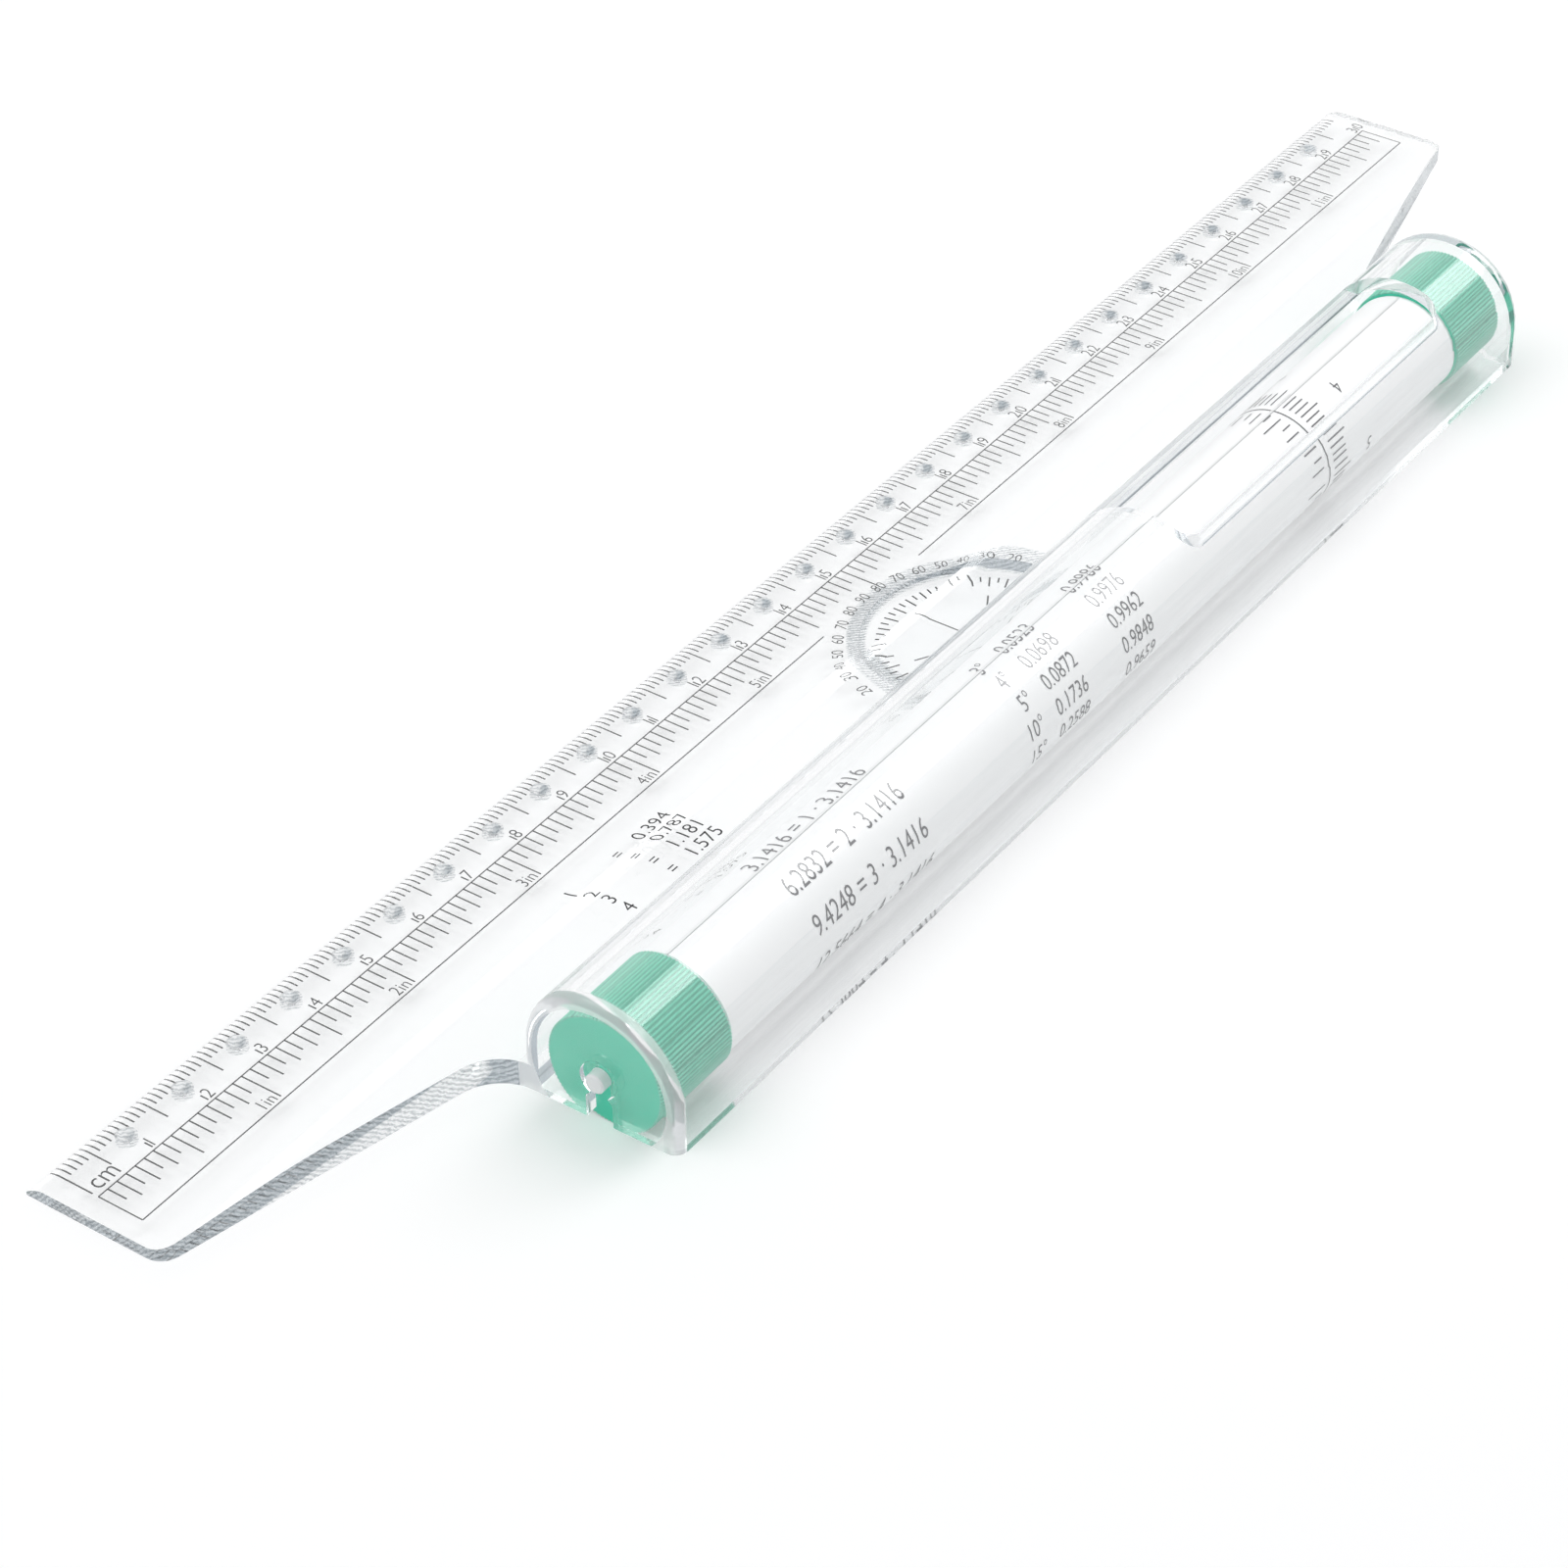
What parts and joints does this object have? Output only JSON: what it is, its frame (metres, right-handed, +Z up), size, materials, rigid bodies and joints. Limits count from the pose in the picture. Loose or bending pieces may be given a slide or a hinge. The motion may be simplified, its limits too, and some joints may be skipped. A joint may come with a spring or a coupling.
{
  "type": "rolling ruler",
  "caption": "Clear rolling ruler: bevelled blade with pencil holes and a protractor, and a D-shaped housing with a reading window that holds a white roller between green ribbed wheels.",
  "frame": {"origin": "middle of the bounding box at the height of the lowest points of the two wheels", "axes": "+X along the ruler in the direction in which the centimetre numbers grow, +Y towards the bevelled edge, +Z up"},
  "size_m": [0.306, 0.0596, 0.0201],
  "materials": {
    "clear_body": "clear colourless acrylic, polished",
    "white_tube": "smooth white plastic tube",
    "printed_sleeve": "satin white sleeve printed in black",
    "white_plug": "moulded white plastic",
    "green_wheel": "satin mint-green moulding with fine ribs"
  },
  "bodies": {
    "ruler": {"ruler_body": "clear_body"},
    "roller": {"drum_tube": "white_tube", "scale_sleeve": "printed_sleeve", "end_plug_left": "white_plug", "end_plug_right": "white_plug", "wheel_left": "green_wheel", "wheel_right": "green_wheel"}
  },
  "joints": [
    {"name": "roller_spin", "type": "hinge", "parent": "ruler", "child": "roller", "pos_m": [0, -0.0181, 0.0084], "axis": [1, 0, 0], "continuous": true}
  ]
}
